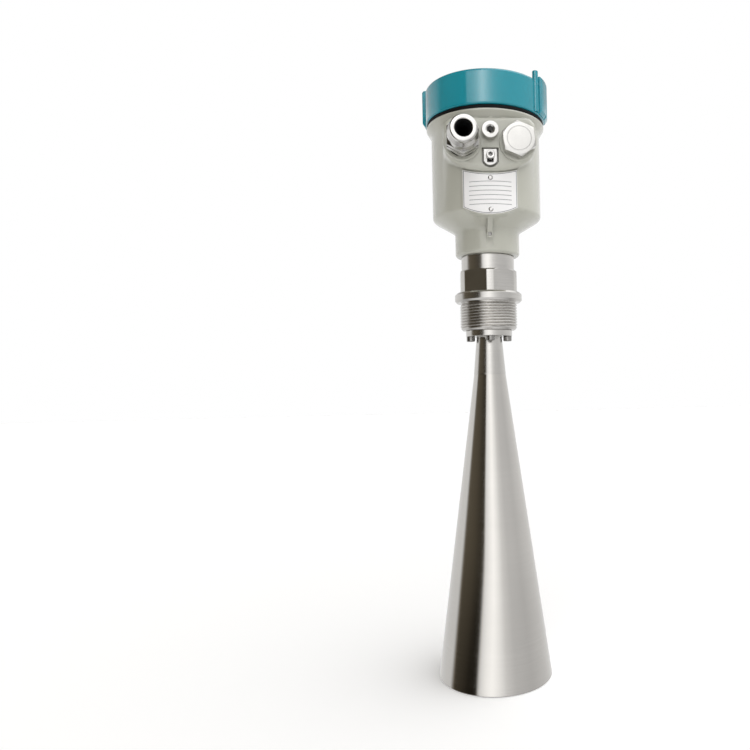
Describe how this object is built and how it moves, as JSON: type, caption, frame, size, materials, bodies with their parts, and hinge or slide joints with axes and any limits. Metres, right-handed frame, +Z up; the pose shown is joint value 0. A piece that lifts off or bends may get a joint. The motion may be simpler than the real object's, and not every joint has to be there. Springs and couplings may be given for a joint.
{
  "type": "radar level meter",
  "caption": "Non-contact level meter: painted round housing with screw lid and cable gland on a threaded process fitting, above a long flared steel horn antenna.",
  "frame": {"origin": "centre of the sealing face above the process thread", "axes": "+Z up the axis from the horn to the lid, -Y out of the cable entries"},
  "size_m": [0.1042, 0.1289, 0.4905],
  "materials": {
    "housing_paint": "light grey semi-gloss paint on cast aluminium",
    "lid_paint": "glossy teal paint on cast aluminium",
    "turned_steel": "turned stainless steel",
    "horn_steel": "stainless sheet, brushed round the cone",
    "plated_brass": "bright nickel-plated brass",
    "screw_steel": "stainless screws",
    "plate_metal": "matt silver plate",
    "seal_rubber": "black rubber",
    "feed_plastic": "white fluoroplastic",
    "potting": "dark potted module",
    "terminal_plastic": "green terminal plastic",
    "adjuster_plastic": "dark grey moulded plastic",
    "screen_glass": "grey-green display panel",
    "key_plastic": "light grey keys"
  },
  "bodies": {
    "process_connection": {"process_fitting": "turned_steel", "horn_throat": "turned_steel", "horn_cone": "horn_steel", "horn_screws": "screw_steel", "feed_cone": "feed_plastic", "feed_seal": "seal_rubber", "waveguide_tube": "turned_steel", "stem_seals": "seal_rubber", "retaining_ring": "screw_steel"},
    "housing": {"housing": "housing_paint", "nameplate": "plate_metal", "nameplate_rivets": "plate_metal", "locking_screw": "screw_steel", "gland_washer": "seal_rubber", "gland_body": "plated_brass", "plug_washer": "seal_rubber", "blanking_plug": "plated_brass", "breather_washer": "seal_rubber", "breather_plug": "plated_brass", "earth_clamp": "screw_steel", "earth_screw": "screw_steel", "electronics_module": "potting", "module_screws": "screw_steel", "terminal_block": "terminal_plastic", "terminal_screws": "screw_steel", "inner_earth_screw": "screw_steel", "adjuster_frame": "adjuster_plastic", "display_screen": "screen_glass"},
    "lid_seal": {"lid_seal": "seal_rubber"},
    "lid": {"lid": "lid_paint"},
    "gland_seal": {"gland_seal": "seal_rubber"},
    "gland_nut": {"gland_nut": "plated_brass"},
    "key_1": {"key_1": "key_plastic"},
    "key_2": {"key_2": "key_plastic"},
    "key_3": {"key_3": "key_plastic"},
    "key_4": {"key_4": "key_plastic"}
  },
  "joints": [
    {"name": "housing_swivel", "type": "hinge", "parent": "process_connection", "child": "housing", "pos_m": [0, 0, 0.05], "axis": [0, 0, 1], "range_deg": [-165, 165]},
    {"name": "lid_rise", "type": "slide", "parent": "housing", "child": "lid_seal", "axis": [0, 0, 1], "range_m": [0, 0.0181]},
    {"name": "lid_turn", "type": "hinge", "parent": "lid_seal", "child": "lid", "pos_m": [0, 0, 0.16], "axis": [0, 0, 1], "range_deg": [0, 3240]},
    {"name": "gland_nut_advance", "type": "slide", "parent": "housing", "child": "gland_seal", "axis": [0, -1, 0], "range_m": [0, 0.0061]},
    {"name": "gland_nut_turn", "type": "hinge", "parent": "gland_seal", "child": "gland_nut", "pos_m": [-0.0215, -0.0693, 0.1182], "axis": [0, -1, 0], "range_deg": [0, 1440]},
    {"name": "key_1_press", "type": "slide", "parent": "housing", "child": "key_1", "axis": [0, 0, -1], "range_m": [0, 0.001], "stiffness_N_per_m": 300},
    {"name": "key_2_press", "type": "slide", "parent": "housing", "child": "key_2", "axis": [0, 0, -1], "range_m": [0, 0.001], "stiffness_N_per_m": 300},
    {"name": "key_3_press", "type": "slide", "parent": "housing", "child": "key_3", "axis": [0, 0, -1], "range_m": [0, 0.001], "stiffness_N_per_m": 300},
    {"name": "key_4_press", "type": "slide", "parent": "housing", "child": "key_4", "axis": [0, 0, -1], "range_m": [0, 0.001], "stiffness_N_per_m": 300}
  ],
  "couplings": [
    {"joint": "lid_rise", "follows": "lid_turn", "m_per_rad": 0.00031831},
    {"joint": "gland_nut_advance", "follows": "gland_nut_turn", "m_per_rad": 0.00023873}
  ]
}
